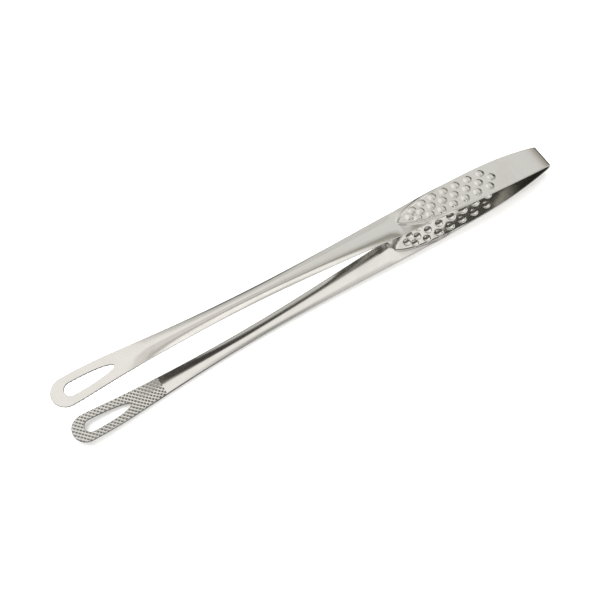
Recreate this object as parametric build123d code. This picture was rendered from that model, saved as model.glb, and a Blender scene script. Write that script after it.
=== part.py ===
from build123d import *
import os
from math import atan, cos, radians, sin, tan

# Spring tongs: one strip of stainless sheet folded into a hairpin, lying on its lower arm.
# X runs along the tongs (fold at +X, tips at -X), Y across the strip, Z up from the table.
# The origin is on the table, halfway between the tips and the fold.
# Stations are distances from the fold's outermost point towards the tips. All in millimetres.

# Sheet and overall form
overall_length = 300.0
sheet = 1.0
fold_inside_radius = 1.2
half_opening = 3.8  # degrees, between each arm and the plane halfway between the arms
leaf_turn = 11.5  # degrees that a spring leaf curves through
leaf_radius = 245.0  # of the leaf's middle surface, in side view

# Zones of the strip: leaf, grip, shank and head. The shank takes up the rest of the length.
leaf_end = 32.0
grip_end = 101.0
head_length = 53.0  # knurled part, up to the tip
arch_fade_length = 15.0  # over which the shank's arch fades into the flat head
head_bend_length = 16.0
head_turn = 6.3  # degrees that the head toes in

# Widths of the strip
hinge_width = 14.2
grip_width = 18.5
grip_width_station = 46.0
pad_tip_width = 15.0
waist_width = 8.4
waist_to_tip = 104.0
arch_end_width = 13.4
head_width = 16.4

# Pressed relief of grip and shank, measured outwards from the strip's edges
arch_rise = 1.5
crest_coining = 0.05  # depth to which the crest is pressed flat where the tongs rest on it
pad_start = 50.0  # station where the edges start to turn down beside the pad
pad_rise = 0.8  # of the pad's pointed end
pad_step_length = 5.0  # over which the pad steps down to the shank's crest
least_flank = 0.5  # width of the turned-down edge where it begins
crest_start_width = 6.2  # flat of the crest just past the pad
crest_end_width = 1.2  # flat of the crest from the waist to the head

# Dimples of the grip: a middle row and two outer rows, half a pitch apart
dimple_diameter = 5.4
dimple_height = 0.75
dimple_row_spacing = 4.8
dimple_margin = 0.3  # least flat left between a dimple and the pad's edge
dimple_first_station = 37.4
dimple_first_pitch = 8.5
dimple_pitch_step = 0.27  # by which each pitch is shorter than the one before
outer_dimple_count = 7
middle_dimple_count = 8

# Loop slot of the head
slot_width = 7.4
slot_length = 27.0
tip_band = 7.0  # sheet left between the slot and the tip

shank_end = overall_length - head_length
waist_station = overall_length - waist_to_tip
arch_end = shank_end + arch_fade_length

fold_middle_radius = fold_inside_radius + sheet / 2
fold_outside_radius = fold_inside_radius + sheet
fold_x = overall_length / 2 - fold_outside_radius
flat_z = arch_rise - crest_coining + sheet / 2  # middle surface of the arm's flat edges
leaf_angle = radians(leaf_turn)
fold_z = flat_z + leaf_radius * (1 - cos(leaf_angle)) + fold_middle_radius * cos(leaf_angle)
leaf_flat_x = fold_x + (fold_middle_radius - leaf_radius) * sin(leaf_angle)
head_angle = radians(head_turn)
head_radius = head_bend_length / sin(head_angle)
far = 2 * overall_length  # longer than any piece, for cutting

# The plane halfway between the arms, and the mirror image across it
tilt = radians(half_opening)
across_gap = (sin(tilt), 0, cos(tilt))
along_gap = (cos(tilt), 0, -sin(tilt))
middle_plane = Plane(origin=(fold_x, 0, fold_z), x_dir=along_gap, z_dir=across_gap)


def x_at(station):
    """X of a station."""
    return overall_length / 2 - station


def outline():
    """Plan outline of one arm: a smooth edge each side and a half-round tip."""
    tip_radius = head_width / 2
    tip_centre = x_at(overall_length - tip_radius)
    stations = [
        (0.0, hinge_width),
        (grip_width_station, grip_width),
        (grip_end, pad_tip_width),
        (waist_station, waist_width),
        (arch_end, arch_end_width),
    ]
    edge = [(x_at(station), width / 2) for station, width in stations]
    edge.append((tip_centre, tip_radius))
    upper = Spline(*edge, tangents=[(-1, 0.12), (-1, 0)])
    tip = ThreePointArc((tip_centre, tip_radius), (tip_centre - tip_radius, 0), (tip_centre, -tip_radius))
    return make_face(
        [
            upper,
            tip,
            mirror(upper, about=Plane.XZ),
            Line((x_at(0), -hinge_width / 2), (x_at(0), hinge_width / 2)),
        ]
    )


arm_outline = outline()
arm_prism = extrude(arm_outline, amount=far, both=True)


def half_width(station):
    """Half the strip's width at a station, measured on the plan outline."""
    across = Line((x_at(station), 0), (x_at(station), grip_width))
    return sum(edge.length for edge in (arm_outline & across).edges())


def between(first, last):
    """A block that holds everything between two stations."""
    block = Box(last - first, far, far)
    return Pos(x_at((first + last) / 2), 0, 0) * block


def leaf_rise(station):
    """Height that the leaf's curve has gained at a station above the flat of the arm."""
    along = max(0.0, x_at(station) - leaf_flat_x)
    return leaf_radius - (leaf_radius**2 - along**2) ** 0.5


def relief(station):
    """Depth by which the pad or the crest stands below the strip's edges."""
    if station <= pad_start:
        return 0.0
    if station >= shank_end:
        return arch_rise * (arch_end - station) / (arch_end - shank_end)
    if station >= grip_end:
        return arch_rise
    return pad_rise * (station - pad_start) / (grip_end - pad_start)


def crest_half_width(station):
    """Half the width of the flat between the two turned-down edges."""
    if station < grip_end:
        share = max(0.0, station - pad_start) / (grip_end - pad_start)
        widest = half_width(station) - least_flank
        return widest + (crest_start_width / 2 - widest) * share**3
    share = min(1.0, (station - grip_end) / (waist_station - grip_end))
    return (crest_start_width + (crest_end_width - crest_start_width) * share) / 2


def section(station):
    """Cross-section of the lower arm: a flat crest between two flanks, of even thickness."""
    half = half_width(station)
    crest = crest_half_width(station)
    depth = relief(station)
    slope = atan(depth / (half - crest))
    crest_z = flat_z - sheet / 2 - depth + leaf_rise(station)
    edge_z = crest_z + depth
    inner_crest = crest - sheet * tan(slope / 2)
    lower = [(-half, edge_z), (-crest, crest_z), (crest, crest_z), (half, edge_z)]
    upper = [
        (half, edge_z + sheet / cos(slope)),
        (inner_crest, crest_z + sheet),
        (-inner_crest, crest_z + sheet),
        (-half, edge_z + sheet / cos(slope)),
    ]
    points = [Vector(x_at(station), y, z) for y, z in lower + upper]
    return make_face(Polyline(*points, close=True))


def bent_strip(centre, middle_radius, start_angle, turn, width):
    """A stretch of strip bent about a line across it, given by its side view's arc in degrees."""
    outer = CenterArc(centre, middle_radius + sheet / 2, start_angle, turn)
    inner = CenterArc(centre, middle_radius - sheet / 2, start_angle, turn)
    ends = [Line(outer @ end, inner @ end) for end in (0, 1)]
    return extrude(Plane.XZ * make_face([outer, inner, *ends]), amount=width / 2, both=True)


def spring_bow():
    """The fold, from one leaf round to the other."""
    wrap = 180 - 2 * (leaf_turn + half_opening)
    return bent_strip((fold_x, fold_z), fold_middle_radius, leaf_turn - 90, wrap, hinge_width)


def lower_leaf():
    """The plain spring leaf, which curves away from the fold."""
    centre = (leaf_flat_x, flat_z + leaf_radius)
    curved = bent_strip(centre, leaf_radius, -90, leaf_turn, far)
    return curved & between(0, leaf_end) & arm_prism


def dimples():
    """Station and offset across the strip of every dimple of one grip."""
    places = []
    station = dimple_first_station
    pitch = dimple_first_pitch
    for _ in range(middle_dimple_count):
        places.append((station, 0.0))
        station += pitch
        pitch -= dimple_pitch_step
    station = dimple_first_station + dimple_first_pitch / 2 - dimple_pitch_step / 8
    pitch = dimple_first_pitch - dimple_pitch_step / 2
    for _ in range(outer_dimple_count):
        inside_pad = crest_half_width(station) - dimple_diameter / 2 - dimple_margin
        offset = min(dimple_row_spacing, inside_pad)
        places.append((station, offset))
        places.append((station, -offset))
        station += pitch
        pitch -= dimple_pitch_step
    return places


def lower_grip():
    """The grip: a pad between turned-down edges, with rows of dimples pressed outwards."""
    stations = [leaf_end, pad_start, 0.75 * pad_start + 0.25 * grip_end]
    stations += [(pad_start + grip_end) / 2, 0.25 * pad_start + 0.75 * grip_end]
    stations += [grip_end - pad_step_length, grip_end]
    grip = loft([section(station) for station in stations])
    base = dimple_diameter / 2
    outer_radius = (base**2 + dimple_height**2) / (2 * dimple_height)
    domes = []
    hollows = []
    for station, offset in dimples():
        face_z = flat_z - sheet / 2 - relief(station) + leaf_rise(station)
        centre = Pos(x_at(station), offset, face_z + outer_radius - dimple_height)
        cap = Pos(x_at(station), offset, face_z - sheet) * Box(2 * base, 2 * base, 3 * sheet)
        domes.append(centre * Sphere(outer_radius) & cap)
        hollows.append(centre * Sphere(outer_radius - sheet))
    return (grip + domes) - hollows


def lower_shank():
    """The shank: a narrow arched channel whose crest the tongs rest on."""
    stations = [grip_end, 0.8 * grip_end + 0.2 * waist_station, (grip_end + waist_station) / 2]
    stations += [waist_station, (waist_station + shank_end) / 2, shank_end]
    return loft([section(station) for station in stations])


def slot():
    """Plan outline of the loop slot: half round towards the tip, drawn out to a point behind."""
    radius = slot_width / 2
    centre = (x_at(overall_length - tip_band - radius), 0)
    point_length = slot_length - radius
    round_end = CenterArc(centre, radius, 90, 180)
    pointed_end = EllipticalCenterArc(centre, point_length, radius, -90, arc_size=180)
    return extrude(make_face([round_end, pointed_end]), amount=far, both=True)


def lower_jaw():
    """The head: the arch fades out, then a flat loop toes in towards the other jaw."""
    fade = loft([section(station) for station in (shank_end, (shank_end + arch_end) / 2, arch_end)])
    bend_centre = (x_at(arch_end), flat_z + head_radius)
    bend = bent_strip(bend_centre, head_radius, -90 - head_turn, head_turn, far)
    straight = overall_length  # trimmed to length by the plan outline
    flat = Pos(-straight / 2, 0, -head_radius) * Box(straight, far, sheet)
    loop = bend + Pos(bend_centre[0], 0, bend_centre[1]) * Rot(0, head_turn, 0) * flat
    return fade + (loop & arm_prism) - slot()


def on_table(piece):
    """The piece with everything below the table's surface pressed away."""
    return piece & Pos(0, 0, far / 2) * Box(far, far, far)


pieces = {"spring_bow": spring_bow()}
for zone, shape in {
    "leaf": lower_leaf(),
    "grip": lower_grip(),
    "shank": lower_shank(),
    "jaw": lower_jaw(),
}.items():
    lower = on_table(shape)
    pieces["lower_" + zone] = lower
    pieces["upper_" + zone] = mirror(lower, about=middle_plane)

os.makedirs("parts", exist_ok=True)
for name, shape in pieces.items():
    export_step(shape, f"parts/{name}.step")
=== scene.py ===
from math import cos, radians, sin, tan

import bmesh
import bpy
import numpy as np
from mathutils import Matrix, Vector


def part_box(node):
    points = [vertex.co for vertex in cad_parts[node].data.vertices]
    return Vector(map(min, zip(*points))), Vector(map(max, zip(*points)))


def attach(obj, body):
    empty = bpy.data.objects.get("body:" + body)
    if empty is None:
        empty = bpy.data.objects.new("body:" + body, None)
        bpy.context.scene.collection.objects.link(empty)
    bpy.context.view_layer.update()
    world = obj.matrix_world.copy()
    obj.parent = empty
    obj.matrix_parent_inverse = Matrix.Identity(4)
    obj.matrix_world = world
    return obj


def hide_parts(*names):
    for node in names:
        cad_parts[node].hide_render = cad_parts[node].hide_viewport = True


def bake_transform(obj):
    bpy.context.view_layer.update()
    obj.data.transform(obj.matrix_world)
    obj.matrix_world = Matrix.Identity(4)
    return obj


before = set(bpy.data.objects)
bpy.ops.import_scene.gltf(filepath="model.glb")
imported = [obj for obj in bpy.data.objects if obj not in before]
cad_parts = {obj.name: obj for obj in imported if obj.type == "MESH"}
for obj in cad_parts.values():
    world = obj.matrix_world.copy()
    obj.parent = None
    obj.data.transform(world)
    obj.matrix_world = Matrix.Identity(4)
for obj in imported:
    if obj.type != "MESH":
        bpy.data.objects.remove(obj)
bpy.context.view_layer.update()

mm = 0.001  # the frame is in metres, and the shapes below are worked out in millimetres

# One strip of stainless sheet folded double. Stations run in mm from the fold (0) to the tips.
# The lower arm lies on the table, and the upper arm is its mirror image across the middle of the gap.
strip = {
    "sheet": 1.0,
    "flatHeight": 1.95,      # middle surface of the arm's flat edges above the table
    "crestRelief": 1.45,     # depth of the pressed crest below those edges
    "foldRadius": 1.7,       # middle surface of the fold
    "leafRadius": 245.0,
    "leafTurn": 11.5,        # degrees
    "halfOpening": 3.8,      # degrees between an arm and the middle of the gap
    "edgeRounding": 0.16,
    "stations": [0.0, 46.0, 101.0, 196.0, 262.0, 291.75],
    "halfWidths": [7.1, 9.21, 7.5, 4.2, 6.7, 8.19],
    "slopeAtFold": 0.12,
    "nudge": 0.02,           # step for taking slopes
    "edgeShadeStart": 150.0,   # from here painted shade darkens the edge's walls, over the next length
    "edgeShadeLength": 95.0,
    "leastEdgeShade": 0.06,
}
weld = {"gap": 2e-6, "sliver": 1e-7, "sharpAngle": 62}  # metres, metres, degrees
grids = {"leaf": (90, 61), "grip": (315, 85), "shank": (366, 61), "fold": (100, 61)}  # rows and columns

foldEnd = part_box("spring_bow")[1].x / mm
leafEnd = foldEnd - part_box("lower_leaf")[0].x / mm
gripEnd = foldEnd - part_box("lower_grip")[0].x / mm
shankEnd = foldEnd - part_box("lower_shank")[0].x / mm

halfSheet = strip["sheet"] / 2
rounding = strip["edgeRounding"]
leafAngle = radians(strip["leafTurn"])
foldX = foldEnd - strip["foldRadius"] - halfSheet
leafRise = strip["leafRadius"] * (1 - cos(leafAngle))
foldZ = strip["flatHeight"] + leafRise + strip["foldRadius"] * cos(leafAngle)
leafFlatX = foldX + (strip["foldRadius"] - strip["leafRadius"]) * sin(leafAngle)
tilt = radians(strip["halfOpening"])
print("frame read, zones end at", [round(s, 2) for s in (leafEnd, gripEnd, shankEnd)])


def smoothStep(value):
    # 0 below 0, 1 above 1, and 3t^2 - 2t^3 between
    t = np.clip(value, 0, 1)
    return t * t * (3 - 2 * t)


def unit(vectors):
    # each vector over its own length
    return vectors / np.maximum(np.linalg.norm(vectors, axis=-1, keepdims=True), 1e-12)


def knotSlopes(x, y, first, last):
    # slopes at the knots of the smooth cubic through them, with both end slopes given
    gaps = np.diff(x)
    rises = np.diff(y) / gaps
    matrix = np.eye(len(x))
    rows = np.arange(1, len(x) - 1)
    matrix[rows, rows - 1] = gaps[1:]
    matrix[rows, rows] = 2 * (gaps[1:] + gaps[:-1])
    matrix[rows, rows + 1] = gaps[:-1]
    inner = 3 * (gaps[1:] * rises[:-1] + gaps[:-1] * rises[1:])
    return np.linalg.solve(matrix, np.concatenate([[first], inner, [last]]))


knotX = np.array(strip["stations"])
knotY = np.array(strip["halfWidths"])
knotSlope = knotSlopes(knotX, knotY, strip["slopeAtFold"], 0.0)
tipCentre = knotX[-1]
tipRadius = knotY[-1]


def halfWidth(station):
    # half width of the blanked strip: a cubic between knots, from the end values and slopes
    s = np.clip(station, 0, tipCentre)
    k = np.clip(np.searchsorted(knotX, s, side="right") - 1, 0, len(knotX) - 2)
    gap = knotX[k + 1] - knotX[k]
    t = (s - knotX[k]) / gap
    ends = knotY[k] * (1 + 2 * t) * (1 - t) ** 2 + knotY[k + 1] * t * t * (3 - 2 * t)
    return ends + gap * t * (1 - t) * (knotSlope[k] * (1 - t) - knotSlope[k + 1] * t)


shank = {
    "crestStart": 2.7,       # half width of the flat crest just past the pad
    "crestEnd": 0.3,         # and from the waist on
    "waistStation": 196.0,
    "corner": 1.2,           # softness of the crease beside the crest
    "hollowing": 1.25,       # 1 for straight flanks, more for flanks that steepen towards the edges
    "fadeLength": 19.0,      # over which the arch dies out in the head
    "openBefore": 1.5,       # before the pad's tip, where the crest starts to open
    "openLength": 4.0,
    "riseBefore": 3.0,       # before the pad's tip, where the pressing starts to rise to its full depth
    "riseLength": 10.0,
    "formBefore": 2.0,       # before the pad's tip, where the arch takes over from the plain flank
    "formLength": 5.0,
    "leastFall": 0.3,        # narrowest that a flank is taken to be
}
grip = {
    "padStart": 50.0,
    "padSlope": 0.006,       # rise of the pad above the edges, per mm
    "crown": 0.50,           # by which the middle of the grip bulges beyond its sides
    "crownStart": 22.0,
    "crownLength": 36.0,
    "crownPast": 6.0,        # past the pad's tip, where the crown has died out
    "crownFade": 16.0,
    "padTip": 99.6,          # station of the pad's point
    "padTaper": 44.0,        # length over which the pad narrows to its point
    "padHalfWidth": 9.0,
    "padPower": 0.6,
    "leastFlank": 0.7,       # width left for the turned-down edge beside the pad
    "slopeStep": 0.1,        # for taking the slope of the pad's outline
    "recess": 0.40,          # of the pad inside its rim
    "recessStart": 60.0,
    "recessLength": 20.0,
    "rimWidth": 1.1,
    "rimPast": 0.6,          # past the pad's tip, where the rim ends
    "rimEnding": 1.2,
    "bead": 0.18,
    "beadWidth": 0.45,       # distance from its ridge at which it has lost two thirds of its height
    "beadStart": 66.0,
    "beadLength": 10.0,
    "firstDimple": 37.4,
    "firstPitch": 8.5,
    "pitchStep": 0.27,
    "rowSpacing": 4.8,
    "dimpleRadius": 2.45,
    "dimpleHeight": 0.54,
    "hollowRadius": 2.25,    # of the punched hollow behind each dimple
    "hollowDepth": 0.68,
    "dimpleSoftness": 0.09,  # of the crease round a dimple
    "dimpleReach": 1.0,      # beyond its radius, where a dimple's effect ends
    "rimOverlap": 0.7,       # by which the outer rows may run over the rim
    "outerCount": 7,
    "middleCount": 8,
}


def padHalfAt(station):
    # pointed arch: full width, then closing to nothing at the pad's tip
    near = np.clip((grip["padTip"] - station) / grip["padTaper"], 0, 1)
    arch = grip["padHalfWidth"] * (1 - (1 - near) ** 2) ** grip["padPower"]
    return np.minimum(arch, halfWidth(station) - grip["leastFlank"])


def crestHalfAt(station):
    # opens quickly past the pad's tip, then narrows in a straight line to the waist
    opened = smoothStep((station - grip["padTip"] + shank["openBefore"]) / shank["openLength"])
    share = np.clip((station - gripEnd) / (shank["waistStation"] - gripEnd), 0, 1)
    return opened * (shank["crestStart"] + (shank["crestEnd"] - shank["crestStart"]) * share)


def dimplePlaces():
    # a middle row, and an outer row each side half a pitch on; the pitches shorten towards the tips
    pitches = grip["firstPitch"] - grip["pitchStep"] * np.arange(grip["middleCount"])
    middle = grip["firstDimple"] + np.concatenate([[0], np.cumsum(pitches)[:-1]])
    outer = (middle[:-1] + middle[1:])[: grip["outerCount"]] / 2
    room = padHalfAt(outer) - grip["dimpleRadius"] - grip["rimWidth"] + grip["rimOverlap"]
    offset = np.minimum(grip["rowSpacing"], room)
    rows = [(middle, 0 * middle), (outer, offset), (outer, -offset)]
    return np.concatenate([np.stack(row, 1) for row in rows])


def dimpleRelief(station, across, wide, high):
    # spherical caps of the given radius and height, with a soft crease where each meets the pad
    soft = grip["dimpleSoftness"]
    reach = (wide + grip["dimpleReach"]) ** 2
    sphere = (wide**2 + high**2) / (2 * high)
    total = 0.0 * station
    for place in dimplePlaces():
        away = np.minimum((station - place[0]) ** 2 + (across - place[1]) ** 2, reach)
        cap = np.sqrt(np.maximum(sphere**2 - away, 0)) - (sphere - high)
        total = total + np.where(away < reach, (cap + np.sqrt(cap**2 + soft**2)) / 2, 0)
    return total


def archShare(station, across, half):
    # 1 on the crest and 0 at the edge, steepening a little down the flank, with a soft crease between
    crest = crestHalfAt(station)

    def beyond(distance):
        return (distance + np.sqrt(distance**2 + shank["corner"] ** 2)) / 2

    level = beyond(-crest)
    fallen = (beyond(np.abs(across) - crest) - level) / (beyond(half - crest) - level)
    return 1 - np.clip(fallen, 0, None) ** shank["hollowing"]


def relief(station, across):
    # depth of the pressing, outwards: pad or crest in the middle, falling to nothing at the edges
    half = halfWidth(station)
    pad = padHalfAt(station)
    pastTip = station - grip["padTip"]

    # rise of the flat in the middle: pad, then shank, then nothing in the head
    sinking = grip["recess"] * smoothStep((station - grip["recessStart"]) / grip["recessLength"])
    rise = grip["padSlope"] * np.clip(station - grip["padStart"], 0, None) + sinking
    full = smoothStep((pastTip + shank["riseBefore"]) / shank["riseLength"])
    rise = rise + (strip["crestRelief"] - rise) * full
    rise = rise * (1 - smoothStep((station - shankEnd) / shank["fadeLength"]))

    # share of that rise across the strip: a plain flank beside the pad, the arch's own form past it
    beside = np.maximum(pad, crestHalfAt(station))
    flank = np.clip((half - np.abs(across)) / np.maximum(half - beside, shank["leastFall"]), 0, 1)
    archForm = archShare(station, across, half)
    form = flank + (archForm - flank) * smoothStep((pastTip + shank["formBefore"]) / shank["formLength"])

    # the pad's bead and recess, by distance inside its outline: offset over the root of 1 + slope squared
    step = grip["slopeStep"]
    slope = (padHalfAt(station + step) - padHalfAt(station - step)) / (2 * step)
    toRim = (pad - np.abs(across)) / np.sqrt(1 + slope**2)
    before = smoothStep((grip["rimPast"] - pastTip) / grip["rimEnding"])
    beadShare = smoothStep((station - grip["beadStart"]) / grip["beadLength"])
    bead = grip["bead"] * np.exp(-((toRim / grip["beadWidth"]) ** 2)) * beadShare
    depth = rise * form + (bead - sinking * smoothStep(toRim / grip["rimWidth"])) * before

    # the crown: a parabola across, coming in over the leaf's end and dying out past the pad
    comingIn = smoothStep((station - grip["crownStart"]) / grip["crownLength"])
    crown = grip["crown"] * comingIn * smoothStep((grip["crownPast"] - pastTip) / grip["crownFade"])
    return depth + crown * (1 - (across / half) ** 2)


head = {
    "bendStart": 15.0,       # from the start of the head
    "bendLength": 16.0,
    "turn": 6.3,             # degrees that the head toes in
    "slotCentre": 289.3,     # of the slot's round end
    "slotRadius": 3.7,
    "slotPoint": 23.3,       # from that centre to the slot's drawn-out end
    "knurlPitch": 2.45,      # of the diamonds along the head
    "knurlRow": 2.6,         # and across it
    "knurlDepth": 0.42,
    "knurlRidge": 0.90,      # nearer 1 for a narrower ridge between the pits
    "knurlSecond": 0.82,     # height of the lower set of ridges beside the other
    "knurlShape": 0.8,       # under 1 for flatter pits
    "knurlStart": 0.4,       # length over which the pits begin
    "rowsBefore": 118,       # along one side: as far as the slot, beside it, and round the tip
    "rowsBeside": 163,
    "rowsAround": 81,
    "slotCrowding": 0.7,     # under 1 to crowd the rows at the slot's round end
    "columns": 35,
}


def armSurface(station, across):
    # middle surface of the lower arm: flat, lifted along the leaf's arc and the head's bend, less the relief
    x = foldEnd - station
    along = np.clip(x - leafFlatX, 0, None)
    lift = strip["leafRadius"] - np.sqrt(strip["leafRadius"] ** 2 - along**2)
    turn = radians(head["turn"])
    bendRadius = head["bendLength"] / sin(turn)
    past = np.clip(station - shankEnd - head["bendStart"], 0, None)
    inBend = np.minimum(past, head["bendLength"])
    lift = lift + bendRadius - np.sqrt(bendRadius**2 - inBend**2) + (past - inBend) * tan(turn)
    return np.stack([x, across, strip["flatHeight"] + lift - relief(station, across)], -1)


def armNormals(station, across):
    # cross product of the surface's differences along and across, pointing away from the other arm
    step = strip["nudge"]
    along = armSurface(station + step, across) - armSurface(station - step, across)
    sideways = armSurface(station, across + step) - armSurface(station, across - step)
    return unit(np.cross(along, sideways))


def arcPoints(turned, across, centreX, centreZ, radius):
    # circular arc in side view; turned is 0 straight below the centre and grows towards the fold's end
    return np.stack([centreX + radius * np.sin(turned), across, centreZ - radius * np.cos(turned)], -1)


def mirrored(points):
    # reflection across the plane through the fold's centre, halfway between the arms
    normal = np.array([sin(tilt), 0, cos(tilt)])
    distance = (points - np.array([foldX, 0, foldZ])) @ normal
    return points - 2 * distance[..., None] * normal


def gridFaces(rows, columns):
    # four corners of every cell of a grid whose points are numbered row by row
    index = np.arange(rows * columns).reshape(rows, columns)
    return np.stack([index[:-1, :-1], index[1:, :-1], index[1:, 1:], index[:-1, 1:]], -1).reshape(-1, 4)


def edgeWall(base, normal, sideways, cut):
    # quarter round at each face and a straight wall between; base lies one rounding inside the edge
    angle = np.radians([0, 30, 60, 90])
    side = rounding * np.sin(np.concatenate([angle, angle[::-1]]))
    drop = rounding * (1 - np.cos(angle))
    upper = halfSheet - drop + 0 * cut[:, None]
    lower = -(halfSheet - cut[:, None]) + drop[::-1]
    level = np.concatenate([upper, lower], 1)
    return base[:, None] + sideways[:, None] * side[:, None] + normal[:, None] * level[..., None]


wallShadeShare = np.array([0.2, 0.9, 1, 1, 1, 1, 0.9, 0.2])  # share of painted shade across the edge's wall, from face to face


def paintedEdgeShade(points):
    # painted shade on the edge's walls: full at the head, fading towards the handle to its least share
    station = foldEnd - points[..., 0]
    shadeShare = smoothStep((station - strip["edgeShadeStart"]) / strip["edgeShadeLength"])
    return wallShadeShare * (strip["leastEdgeShade"] + (1 - strip["leastEdgeShade"]) * shadeShare)


def makePiece(name, patches, caps, flip=False):
    # patches are grids of points with a share of painted edge shade and of pit; caps are (outer row, inner
    # row, walls)
    points, faces, tones, pits = [], [], [], []
    count = 0

    def add(grid, tone, pit):
        nonlocal count
        points.append(grid.reshape(-1, 3))
        tones.append(np.ravel(tone + np.zeros(grid.shape[:-1])))
        pits.append(np.ravel(pit + np.zeros(grid.shape[:-1])))
        count += tones[-1].size

    for grid, tone, pit in patches:
        faces.extend((gridFaces(*grid.shape[:2]) + count).tolist())
        add(grid, tone, pit)
    for outerRow, innerRow, walls in caps:
        faces.extend((gridFaces(2, len(outerRow)) + count).tolist())
        add(np.stack([outerRow, innerRow]), 0.0, 0.0)
        for wall in walls:
            faces.append(list(range(count, count + len(wall))))
            add(wall, 0.0, 0.0)
    place = np.concatenate(points)
    if flip:
        place = mirrored(place)
    mesh = bpy.data.meshes.new(name)
    mesh.from_pydata((place * mm).tolist(), [], faces)
    # stored shares: painted shade on the edge walls, and the depth of the knurl's pits
    mesh.attributes.new("edgeWallShade", "FLOAT", "POINT").data.foreach_set("value", np.concatenate(tones))
    mesh.attributes.new("pit", "FLOAT", "POINT").data.foreach_set("value", np.concatenate(pits))
    shell = bmesh.new()
    shell.from_mesh(mesh)
    bmesh.ops.remove_doubles(shell, verts=shell.verts, dist=weld["gap"])
    bmesh.ops.dissolve_degenerate(shell, edges=shell.edges, dist=weld["sliver"])
    bmesh.ops.recalc_face_normals(shell, faces=shell.faces)
    shell.to_mesh(mesh)
    shell.free()
    mesh.shade_smooth()
    mesh.set_sharp_from_angle(angle=radians(weld["sharpAngle"]))
    piece = bpy.data.objects.new(name, mesh)
    bpy.context.scene.collection.objects.link(piece)
    return piece


def stripPiece(name, middle, normal, flip=False, domes=0.0, hollows=0.0):
    # sheet about a grid of middle points, half its thickness along the normal each way, with walls at both
    # sides and caps at both ends; domes raise its outer face and hollows sink its inner face
    flat = np.zeros(len(middle))
    outer = middle + normal * (halfSheet + domes + 0 * middle[..., 0])[..., None]
    inner = middle - normal * (halfSheet - hollows + 0 * middle[..., 0])[..., None]
    walls = []
    for column, neighbour in ((0, 1), (-1, -2)):
        sideways = unit(middle[:, column] - middle[:, neighbour])
        walls.append(edgeWall(middle[:, column], normal[:, column], sideways, flat))
    patches = [(outer, 0.0, 0.0), (inner, 0.0, 0.0)] + [(wall, paintedEdgeShade(wall), 0.0) for wall in walls]
    caps = [(outer[row], inner[row], [wall[row] for wall in walls]) for row in (0, -1)]
    return makePiece(name, patches, caps, flip)


def armPlan(first, last, rows, columns):
    # rows across the arm between two stations, and columns along it, one rounding inside the edges
    station = np.linspace(first, last, rows)[:, None] + np.zeros(columns)
    return station, np.linspace(-1, 1, columns) * (halfWidth(station) - rounding)


def gripPiece(name, flip):
    # the dimples stand on the outer face, with a slightly narrower, deeper punched hollow behind each
    station, across = armPlan(leafEnd, gripEnd, *grids["grip"])
    domes = dimpleRelief(station, across, grip["dimpleRadius"], grip["dimpleHeight"])
    hollows = dimpleRelief(station, across, grip["hollowRadius"], grip["hollowDepth"])
    return stripPiece(name, armSurface(station, across), armNormals(station, across), flip, domes, hollows)


def shankPiece(name, flip):
    # arched sheet of even thickness
    station, across = armPlan(gripEnd, shankEnd, *grids["shank"])
    return stripPiece(name, armSurface(station, across), armNormals(station, across), flip)


def arcGrid(firstTurn, lastTurn, rows, columns, centreX, centreZ, radius):
    # rows at even turns round a circular arc in side view, each as wide as the strip is there
    turned = np.linspace(firstTurn, lastTurn, rows)[:, None] + np.zeros(columns)
    x = centreX + radius * np.sin(turned)
    across = np.linspace(-1, 1, columns) * (halfWidth(foldEnd - x) - rounding)
    normal = np.stack([np.sin(turned), 0 * turned, -np.cos(turned)], -1)
    return arcPoints(turned, across, centreX, centreZ, radius), normal


def headPlan():
    # one side of the head in plan, from its start to the tip: the outline, and the line it is drawn in to,
    # which is the centre line and then the slot's edge; both stand one rounding inside the real edge
    split = head["slotCentre"] - head["slotPoint"] - rounding
    before = np.linspace(shankEnd, split, head["rowsBefore"])
    beside = np.linspace(split, tipCentre, head["rowsBeside"])[1:]
    around = np.linspace(0, np.pi / 2, head["rowsAround"])[1:]
    s = np.concatenate([before, beside])
    outline = np.stack([s, halfWidth(s) - rounding], 1)
    outerArc = (tipRadius - rounding) * np.stack([np.sin(around), np.cos(around)], 1) + [tipCentre, 0]
    theta = ((beside - split) / (tipCentre - split)) ** head["slotCrowding"] * np.pi / 2
    theta = np.concatenate([[0], theta])
    edge = np.stack([-head["slotPoint"] * np.cos(theta), head["slotRadius"] * np.sin(theta)], 1)
    into = -unit(edge / np.array([head["slotPoint"], head["slotRadius"]]) ** 2)
    slotSide = edge + [head["slotCentre"], 0] - into * rounding
    roundWay = np.stack([np.sin(around), np.cos(around)], 1)
    slotArc = (head["slotRadius"] + rounding) * roundWay + [head["slotCentre"], 0]
    centreLine = np.stack([before[:-1], 0 * before[:-1]], 1)
    drawnTo = np.concatenate([centreLine, slotSide, slotArc])
    opening = np.concatenate([np.zeros_like(centreLine), into, -roundWay])
    return np.concatenate([outline, outerArc]), drawnTo, opening, len(before) - 1


def knurlCut(station, across):
    # depth of the diamond pits: what is left between two crossing sets of ridges
    a = station / head["knurlPitch"] + across / head["knurlRow"]
    b = station / head["knurlPitch"] - across / head["knurlRow"]
    ridge = np.maximum(head["knurlSecond"] * np.abs(np.cos(np.pi * a)), np.abs(np.cos(np.pi * b)))
    share = np.clip(head["knurlRidge"] - ridge, 0, 1) / head["knurlRidge"]
    begun = np.clip((station - shankEnd) / head["knurlStart"], 0, 1)
    return head["knurlDepth"] * share ** head["knurlShape"] * begun


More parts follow.
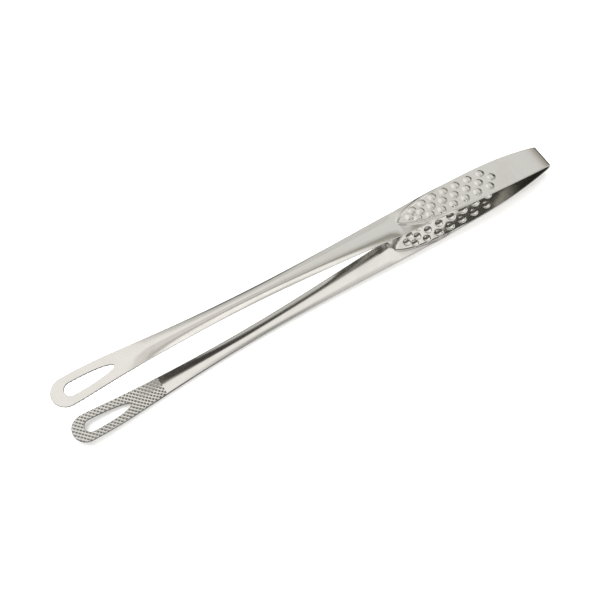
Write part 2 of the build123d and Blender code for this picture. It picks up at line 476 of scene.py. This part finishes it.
def jawPiece(name, flip=False):
    # grid from the outline inwards, run down one side, round the tip and back up the other
    outline, drawnTo, opening, slotRow = headPlan()
    turnedBack = np.array([1, -1])
    outline = np.concatenate([outline * turnedBack, outline[-2::-1]])
    drawnTo = np.concatenate([drawnTo * turnedBack, drawnTo[-2::-1]])
    opening = np.concatenate([opening * turnedBack, opening[-2::-1]])
    share = np.linspace(0, 1, head["columns"])[:, None]
    plan = outline[:, None] * (1 - share) + drawnTo[:, None] * share
    station, across = plan[..., 0], plan[..., 1]
    middle = armSurface(station, across)
    normal = armNormals(station, across)
    cut = knurlCut(station, across)
    pit = cut / head["knurlDepth"]
    outer = middle + normal * halfSheet
    inner = middle - normal * (halfSheet - cut)[..., None]
    outwards = unit(middle[:, 0] - middle[:, 1])
    rim = edgeWall(middle[:, 0], normal[:, 0], outwards, cut[:, 0])
    step = strip["nudge"] * opening
    ahead = armSurface(drawnTo[:, 0] + step[:, 0], drawnTo[:, 1] + step[:, 1])
    into = unit(ahead - middle[:, -1])
    rows = slice(slotRow, len(outline) - slotRow)
    slotWall = edgeWall(middle[rows, -1], normal[rows, -1], into[rows], cut[rows, -1])
    patches = [(outer, 0.0, 0.0), (inner, 0.0, pit)]
    patches += [(wall, paintedEdgeShade(wall), 0.0) for wall in (rim, slotWall)]
    caps = [(outer[row], inner[row], [rim[row]]) for row in (0, -1)]
    return makePiece(name, patches, caps, flip)


leafCentre = (leafFlatX, strip["flatHeight"] + strip["leafRadius"])
leafStart = np.arcsin((foldEnd - leafEnd - leafFlatX) / strip["leafRadius"])
pieces = {}
for side, flip in (("lower", False), ("upper", True)):
    leafGrid = arcGrid(leafStart, leafAngle, *grids["leaf"], *leafCentre, strip["leafRadius"])
    pieces[side + "Leaf"] = stripPiece(side + "Leaf", *leafGrid, flip)
    pieces[side + "Grip"] = gripPiece(side + "Grip", flip)
    pieces[side + "Shank"] = shankPiece(side + "Shank", flip)
    pieces[side + "Jaw"] = jawPiece(side + "Jaw", flip)
    print(side, "arm made")
foldTurns = (leafAngle, np.pi - leafAngle - 2 * tilt)
bowGrid = arcGrid(*foldTurns, *grids["fold"], foldX, foldZ, strip["foldRadius"])
pieces["springBow"] = stripPiece("springBow", *bowGrid)
print("fold made;", sum(len(piece.data.polygons) for piece in pieces.values()), "faces in all")


# Finishes. A group only gives out what varies over the surface; the shader's own values stay in the
# material.
def newGroup(name, inputs, outputs):
    group = bpy.data.node_groups.new(name, "ShaderNodeTree")
    for label, default in inputs.items():
        socket = group.interface.new_socket(label, in_out="INPUT", socket_type="NodeSocketFloat")
        socket.default_value = default
    for label, kind in outputs.items():
        group.interface.new_socket(label, in_out="OUTPUT", socket_type=kind)
    return group, group.nodes.new("NodeGroupInput"), group.nodes.new("NodeGroupOutput")


def addNode(tree, kind, settings=None, **inputs):
    # node with its settings, and each named input either linked to a socket or given a value
    node = tree.nodes.new(kind)
    for key, value in (settings or {}).items():
        setattr(node, key, value)
    for key, value in inputs.items():
        socket = node.inputs[int(key[2:])] if key.startswith("in") and key[2:].isdigit() else node.inputs[key]
        if isinstance(value, bpy.types.NodeSocket):
            tree.links.new(value, socket)
        else:
            socket.default_value = value
    return node


def addMath(tree, operation, first, second=0.0):
    return addNode(tree, "ShaderNodeMath", {"operation": operation}, in0=first, in1=second).outputs[0]


brushing = {
    "layers": ((28.0, 2600.0), (90.0, 7800.0)),  # noise scale along the strip and across it
    "detail": 3.0,
    "secondShare": 0.5,
    "spread": (0.5, 1.0),
}
handling = {
    "smudgeScale": 55.0,
    "smudgeDetail": 5.0,
    "smudgeRoughness": 0.6,
    "smudgeDistortion": 0.6,
    "smudgeLimits": (0.42, 0.68),
    "scratchTurns": (0.35, -0.5),                # radians about the strip's own direction
    "scratchScale": (140.0, 3800.0, 900.0),
    "scratchDetail": 1.0,
    "scratchLimits": (0.7, 0.78),
}
# fine noise that breaks up the painted shade on the edge walls
edgeShadeNoise = {"breakup": 0.35, "scale": 900.0, "detail": 2.0}


def addRange(tree, value, limits, kind="LINEAR"):
    # 0 at the first limit and 1 at the second
    node = addNode(tree, "ShaderNodeMapRange", {"interpolation_type": kind}, Value=value)
    node.inputs["From Min"].default_value, node.inputs["From Max"].default_value = limits
    return node.outputs[0]


def brushedGrainGroup():
    # long streaks along X: noise squeezed across the strip, in two widths, mixed and spread to 0..1
    group, given, out = newGroup(
        "brushedGrain", {"Fineness": 1.0}, {"Streaks": "NodeSocketFloat", "Height": "NodeSocketFloat"}
    )
    place = addNode(group, "ShaderNodeTexCoord").outputs["Object"]
    layers = []
    for lengthScale, widthScale in brushing["layers"]:
        squeeze = (lengthScale, widthScale, widthScale)
        mapped = addNode(group, "ShaderNodeMapping", Vector=place, Scale=squeeze)
        noise = addNode(
            group,
            "ShaderNodeTexNoise",
            Vector=mapped.outputs[0],
            Scale=given.outputs["Fineness"],
            Detail=brushing["detail"],
        )
        layers.append(noise.outputs["Fac"])
    both = addMath(group, "MULTIPLY_ADD", layers[1], brushing["secondShare"])
    group.links.new(layers[0], both.node.inputs[2])
    group.links.new(addRange(group, both, brushing["spread"]), out.inputs["Streaks"])
    group.links.new(both, out.inputs["Height"])
    return group


def handlingMarksGroup():
    # soft smudges from wide noise, and short scratches where a squeezed, turned noise passes a limit
    group, given, out = newGroup(
        "handlingMarks",
        {"Smudge Size": 1.0, "Scratch Size": 1.0},
        {"Smudges": "NodeSocketFloat", "Scratches": "NodeSocketFloat"},
    )
    place = addNode(group, "ShaderNodeTexCoord").outputs["Object"]
    smudge = addNode(
        group,
        "ShaderNodeTexNoise",
        Vector=place,
        Scale=addMath(group, "MULTIPLY", given.outputs["Smudge Size"], handling["smudgeScale"]),
        Detail=handling["smudgeDetail"],
        Roughness=handling["smudgeRoughness"],
        Distortion=handling["smudgeDistortion"],
    )
    smudgeMask = addRange(group, smudge.outputs["Fac"], handling["smudgeLimits"], "SMOOTHSTEP")
    masks = []
    for turn in handling["scratchTurns"]:
        mapped = addNode(
            group,
            "ShaderNodeMapping",
            Vector=place,
            Rotation=(0.0, 0.0, turn),
            Scale=handling["scratchScale"],
        )
        streak = addNode(
            group,
            "ShaderNodeTexNoise",
            Vector=mapped.outputs[0],
            Scale=given.outputs["Scratch Size"],
            Detail=handling["scratchDetail"],
        )
        masks.append(addRange(group, streak.outputs["Fac"], handling["scratchLimits"], "SMOOTHSTEP"))
    group.links.new(smudgeMask, out.inputs["Smudges"])
    group.links.new(addMath(group, "MAXIMUM", masks[0], masks[1]), out.inputs["Scratches"])
    return group


def edgeWallShadeGroup():
    # painted shade on the sheet's edge walls: the share stored with the mesh, broken up by fine noise
    group, given, out = newGroup("edgeWallShade", {"Breakup": edgeShadeNoise["breakup"]}, {"Edge": "NodeSocketFloat"})
    stored = addNode(group, "ShaderNodeAttribute", {"attribute_name": "edgeWallShade"}).outputs["Fac"]
    place = addNode(group, "ShaderNodeTexCoord").outputs["Object"]
    noise = addNode(
        group, "ShaderNodeTexNoise", Vector=place, Scale=edgeShadeNoise["scale"], Detail=edgeShadeNoise["detail"]
    )
    broken = addMath(group, "MULTIPLY", noise.outputs["Fac"], given.outputs["Breakup"])
    kept = addMath(group, "SUBTRACT", 1.0, broken)
    group.links.new(addMath(group, "MULTIPLY", stored, kept), out.inputs["Edge"])
    return group


groups = {"grain": brushedGrainGroup(), "marks": handlingMarksGroup(), "edge": edgeWallShadeGroup()}


def addGroup(tree, group, **values):
    # the group placed in a material, with its own values
    node = tree.nodes.new("ShaderNodeGroup")
    node.node_tree = group
    for label, value in values.items():
        node.inputs[label.replace("_", " ")].default_value = value
    return node


def mixColour(tree, factor, first, second):
    # first where the factor is 0 and second where it is 1; either can be a socket or three numbers
    node = addNode(tree, "ShaderNodeMix", {"data_type": "RGBA"}, in0=factor)
    for slot, value in ((6, first), (7, second)):
        if isinstance(value, bpy.types.NodeSocket):
            tree.links.new(value, node.inputs[slot])
        else:
            node.inputs[slot].default_value = (*value, 1.0)
    return node.outputs[2]


satinFinish = {
    "colour": (0.59, 0.582, 0.56),
    "streakColour": (0.565, 0.557, 0.535),
    "smudgeColour": (0.555, 0.545, 0.52),
    # near black: painted shade standing in for the dark reflections along the edges
    "edgeShadeColour": (0.035, 0.034, 0.033),
    # painted shade in pits, darker than the steel
    "pitShadeColour": (0.36, 0.345, 0.32),
    "roughness": 0.085,
    "streakRoughness": 0.035,
    "smudgeRoughness": 0.03,
    "scratchRoughness": 0.10,
    "pitRoughness": 0.15,
    "grainHeight": 0.0000006,
    "fineness": 1.0,
}
knurledFinish = dict(
    satinFinish,
    # painted shade: the knurl's pits darkened in colour by their depth
    pitShadeColour=(0.12, 0.115, 0.105),
    roughness=0.11,
    grainHeight=0.000001,
    fineness=1.3,
)


def steelMaterial(name, finish):
    # roughness adds up: the finish's own, less on the streaks, more on smudges, scratches and pits
    material = bpy.data.materials.new(name)
    material.use_nodes = True
    tree = material.node_tree
    shader = tree.nodes["Principled BSDF"]
    grain = addGroup(tree, groups["grain"], Fineness=finish["fineness"])
    marks = addGroup(tree, groups["marks"])
    edge = addGroup(tree, groups["edge"])
    pit = addNode(tree, "ShaderNodeAttribute", {"attribute_name": "pit"}).outputs["Fac"]
    colour = mixColour(tree, grain.outputs["Streaks"], finish["streakColour"], finish["colour"])
    colour = mixColour(tree, marks.outputs["Smudges"], colour, finish["smudgeColour"])
    # painted shade: the edge walls turned towards near black by their stored share
    colour = mixColour(tree, edge.outputs["Edge"], colour, finish["edgeShadeColour"])
    # painted shade: the knurl's pits darkened by their depth
    colour = mixColour(tree, pit, colour, finish["pitShadeColour"])
    tree.links.new(colour, shader.inputs["Base Color"])
    level = addNode(tree, "ShaderNodeMath", {"operation": "MULTIPLY_ADD"}, in0=grain.outputs["Streaks"])
    level.inputs[1].default_value = -finish["streakRoughness"]
    level.inputs[2].default_value = finish["roughness"] + finish["streakRoughness"]
    for mask, amount in (
        (marks.outputs["Smudges"], finish["smudgeRoughness"]),
        (marks.outputs["Scratches"], finish["scratchRoughness"]),
        (pit, finish["pitRoughness"]),
    ):
        added = addNode(tree, "ShaderNodeMath", {"operation": "MULTIPLY_ADD"}, in0=mask, in1=amount)
        tree.links.new(level.outputs[0], added.inputs[2])
        level = added
    tree.links.new(level.outputs[0], shader.inputs["Roughness"])
    bump = addNode(tree, "ShaderNodeBump", Height=grain.outputs["Height"], Distance=finish["grainHeight"])
    tree.links.new(bump.outputs[0], shader.inputs["Normal"])
    shader.inputs["Metallic"].default_value = 1.0
    return material


satinSteel = steelMaterial("satinSteel", satinFinish)
knurledSteel = steelMaterial("knurledSteel", knurledFinish)
for name, piece in pieces.items():
    piece.data.materials.append(knurledSteel if name.endswith("Jaw") else satinSteel)
print("finishes made")

# Floor, light and camera
studio = {
    "floorSize": 6.0,
    "floorTone": 0.93,
    "floorDrop": 0.0001,     # below the tongs
    "floorMottle": (0.01, 0.01, 0.008),    # the most that is added to the tone
    "mottleScale": 3.0,
    "mottleDetail": 3.0,
    "floorRoughness": 0.9,
    "floorSpecular": 0.1,
    "floorGlow": 0.25,
    "mirroredNear": (0.95, 0.94, 0.92),    # the table as the metal sees it, in front of the tongs
    "mirroredFar": (0.15, 0.14, 0.125),    # and behind them, dark: a painted shade
    "mirroredEdges": (-0.008, 0.004),      # in metres across, between which one turns into the other
    "backdrop": (0.98, 0.98, 0.98),
    "lowTone": (0.10, 0.095, 0.088),       # at the horizon, up to the first height below
    "lowHeights": (0.16, 0.30),            # the base tone starts at the second
    "baseTone": (0.84, 0.83, 0.80),
    # direction, degrees to the full tone, degrees to where it ends, tone
    "tones": [
        ((-0.15, 0.62, 0.77), 24, 40, (1.38, 1.36, 1.32)),
        ((0.70, 0.42, 0.58), 16, 30, (1.06, 1.05, 1.02)),
        ((0.42, 0.88, 0.28), 6, 14, (0.95, 0.94, 0.91)),
        ((0.93, 0.36, 0.0), 24.2, 26.6, (0.40, 0.36, 0.29)),
        ((0.98, 0.30, 0.12), 9, 19, (0.08, 0.07, 0.06)),
        ((-0.78, 0.36, 0.46), 22, 38, (0.13, 0.12, 0.105)),
        ((-0.42, 0.84, 0.34), 14, 22, (0.12, 0.115, 0.105)),
        ((0.92, -0.12, 0.38), 14, 26, (0.55, 0.54, 0.51)),
        ((0.45, -0.20, 0.87), 6, 13, (0.50, 0.48, 0.43)),
        ((0.62, -0.52, 0.60), 11, 18, (1.5, 1.48, 1.44)),
        ((0.34, -0.28, 0.90), 5, 8, (1.6, 1.58, 1.55)),
        ((0.22, 0.06, 0.97), 5, 12, (1.12, 1.08, 1.03)),
        ((0.06, -0.21, 0.975), 7, 11, (0.06, 0.057, 0.052)),
    ],
    "lampPlace": (-0.2, 0.5, 1.4),
    "lampSize": 1.6,
    "lampPower": 22.0,
}


def makeFloor():
    mesh = bpy.data.meshes.new("floor")
    half = studio["floorSize"] / 2
    corners = [(-half, -half, 0), (half, -half, 0), (half, half, 0), (-half, half, 0)]
    mesh.from_pydata(corners, [], [(0, 1, 2, 3)])
    floor = bpy.data.objects.new("floor", mesh)
    floor.location.z = -studio["floorDrop"]
    bpy.context.scene.collection.objects.link(floor)
    material = bpy.data.materials.new("paleFloor")
    material.use_nodes = True
    tree = material.node_tree
    shader = tree.nodes["Principled BSDF"]
    place = addNode(tree, "ShaderNodeTexCoord").outputs["Object"]
    mottle = addNode(
        tree, "ShaderNodeTexNoise", Vector=place, Scale=studio["mottleScale"], Detail=studio["mottleDetail"]
    )
    tone = (studio["floorTone"],) * 3
    lighter = tuple(share + more for share, more in zip(tone, studio["floorMottle"]))
    colour = mixColour(tree, mottle.outputs["Fac"], tone, lighter)
    tree.links.new(colour, shader.inputs["Base Color"])
    shader.inputs["Roughness"].default_value = studio["floorRoughness"]
    shader.inputs["Specular IOR Level"].default_value = studio["floorSpecular"]
    shader.inputs["Emission Color"].default_value = (1, 1, 1, 1)
    shader.inputs["Emission Strength"].default_value = studio["floorGlow"]
    # painted shade: the metal sees a darker, glowing table than the eye does, keeping undersides and hollows
    # deep
    behind = addNode(tree, "ShaderNodeSeparateXYZ", Vector=place).outputs["Y"]
    shade = addRange(tree, behind, studio["mirroredEdges"], "SMOOTHSTEP")
    seenTone = mixColour(tree, shade, studio["mirroredNear"], studio["mirroredFar"])
    seen = addNode(tree, "ShaderNodeEmission", Color=seenTone)
    mirrorRay = addNode(tree, "ShaderNodeLightPath").outputs["Is Glossy Ray"]
    either = addNode(tree, "ShaderNodeMixShader", in0=mirrorRay, in1=shader.outputs[0], in2=seen.outputs[0])
    tree.links.new(either.outputs[0], tree.nodes["Material Output"].inputs["Surface"])
    mesh.materials.append(material)


def makeSky():
    # soft tent: one base tone, with wide patches of other tones laid over it by direction
    world = bpy.data.worlds.new("tent")
    bpy.context.scene.world = world
    world.use_nodes = True
    tree = world.node_tree
    way = addNode(tree, "ShaderNodeTexCoord").outputs["Generated"]
    height = addNode(tree, "ShaderNodeSeparateXYZ", Vector=way).outputs["Z"]
    rise = addRange(tree, height, studio["lowHeights"], "SMOOTHSTEP")
    colour = mixColour(tree, rise, studio["lowTone"], studio["baseTone"])
    for direction, full, end, tone in studio["tones"]:
        aim = Vector(direction).normalized()
        closeness = addNode(tree, "ShaderNodeVectorMath", {"operation": "DOT_PRODUCT"}, in0=way, in1=aim)
        limits = (cos(radians(end)), cos(radians(full)))
        share = addRange(tree, closeness.outputs["Value"], limits, "SMOOTHSTEP")
        colour = mixColour(tree, share, colour, tone)
    # the camera itself sees only a pale backdrop beyond the floor
    cameraRay = addNode(tree, "ShaderNodeLightPath").outputs["Is Camera Ray"]
    colour = mixColour(tree, cameraRay, colour, studio["backdrop"])
    tree.links.new(colour, tree.nodes["Background"].inputs["Color"])


def makeLamp():
    data = bpy.data.lights.new("softbox", "AREA")
    data.size = studio["lampSize"]
    data.energy = studio["lampPower"]
    lamp = bpy.data.objects.new("softbox", data)
    lamp.location = studio["lampPlace"]
    lamp.rotation_euler = (-lamp.location).to_track_quat("-Z", "Y").to_euler()
    lamp.visible_glossy = False
    bpy.context.scene.collection.objects.link(lamp)


view = {
    "azimuth": -20.278,      # degrees from the side view
    "elevation": 62.943,
    "roll": -12.125,
    "distance": 1.9954,      # in lengths of the tongs, and so are the offsets
    "offsetRight": 0.0322,
    "offsetUp": 0.0062,
    "lens": 65.53,
    "sensor": 36.0,          # mm, as the lens
    "nearest": 0.01,         # metres
}


def makeCamera():
    az, el, roll = (radians(view[key]) for key in ("azimuth", "elevation", "roll"))
    back = Vector((sin(az) * cos(el), -cos(az) * cos(el), sin(el)))
    levelRight = Vector((cos(az), sin(az), 0))
    levelUp = back.cross(levelRight)
    right = levelRight * cos(roll) + levelUp * sin(roll)
    up = levelUp * cos(roll) - levelRight * sin(roll)
    data = bpy.data.cameras.new("camera")
    data.lens = view["lens"]
    data.sensor_width = view["sensor"]
    data.clip_start = view["nearest"]
    data.dof.use_dof = False
    camera = bpy.data.objects.new("camera", data)
    unitLength = 2 * foldEnd * mm
    place = back * view["distance"] - right * view["offsetRight"] - up * view["offsetUp"]
    turn = Matrix((right, up, back)).transposed().to_4x4()
    camera.matrix_world = Matrix.Translation(place * unitLength) @ turn
    bpy.context.scene.collection.objects.link(camera)
    bpy.context.scene.camera = camera


makeFloor()
makeSky()
makeLamp()
makeCamera()
bpy.context.scene.view_settings.view_transform = "Standard"
print("floor, light and camera made")

for side in ("lower", "upper"):
    for zone, slot in (("Grip", "satin_steel"), ("Shank", "satin_steel"), ("Jaw", "knurled_steel")):
        piece = pieces[side + zone]
        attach(piece, side + "_arm")
        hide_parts(side + "_" + zone.lower())
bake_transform(pieces["lowerLeaf"])
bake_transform(pieces["upperLeaf"])
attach(pieces["springBow"], "bow")
for name, node in (("lowerLeaf", "lower_leaf"), ("upperLeaf", "upper_leaf"), ("springBow", "spring_bow")):
    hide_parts(node)
